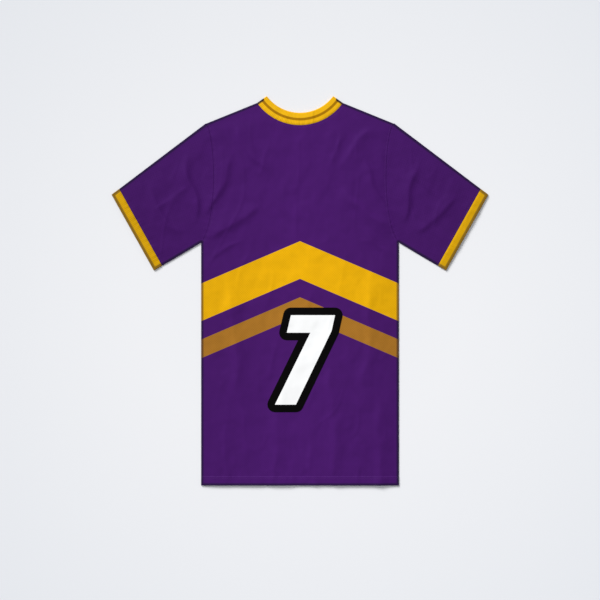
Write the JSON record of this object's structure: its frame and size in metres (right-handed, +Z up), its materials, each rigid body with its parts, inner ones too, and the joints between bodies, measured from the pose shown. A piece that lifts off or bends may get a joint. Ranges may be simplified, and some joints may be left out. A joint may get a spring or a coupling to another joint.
{
  "type": "football jersey",
  "caption": "Short-sleeved football jersey with a round ribbed collar and ribbed cuffs, laid flat on its back with the front up.",
  "frame": {"origin": "middle of the jersey's outline, on the surface that it lies on", "axes": "+Z up out of the front, +Y from the hem to the collar, +X to the right as the laid jersey is seen from above"},
  "size_m": [0.7914, 0.8174, 0.0069],
  "materials": {
    "purple_knit": "matte polyester knit with a faint sheen",
    "gold_rib": "matte ribbed knit"
  },
  "bodies": {
    "root": {"front": "purple_knit", "back": "purple_knit", "sleeve_right": "purple_knit", "sleeve_left": "purple_knit", "cuff_right": "gold_rib", "cuff_left": "gold_rib", "collar": "gold_rib"}
  },
  "joints": []
}
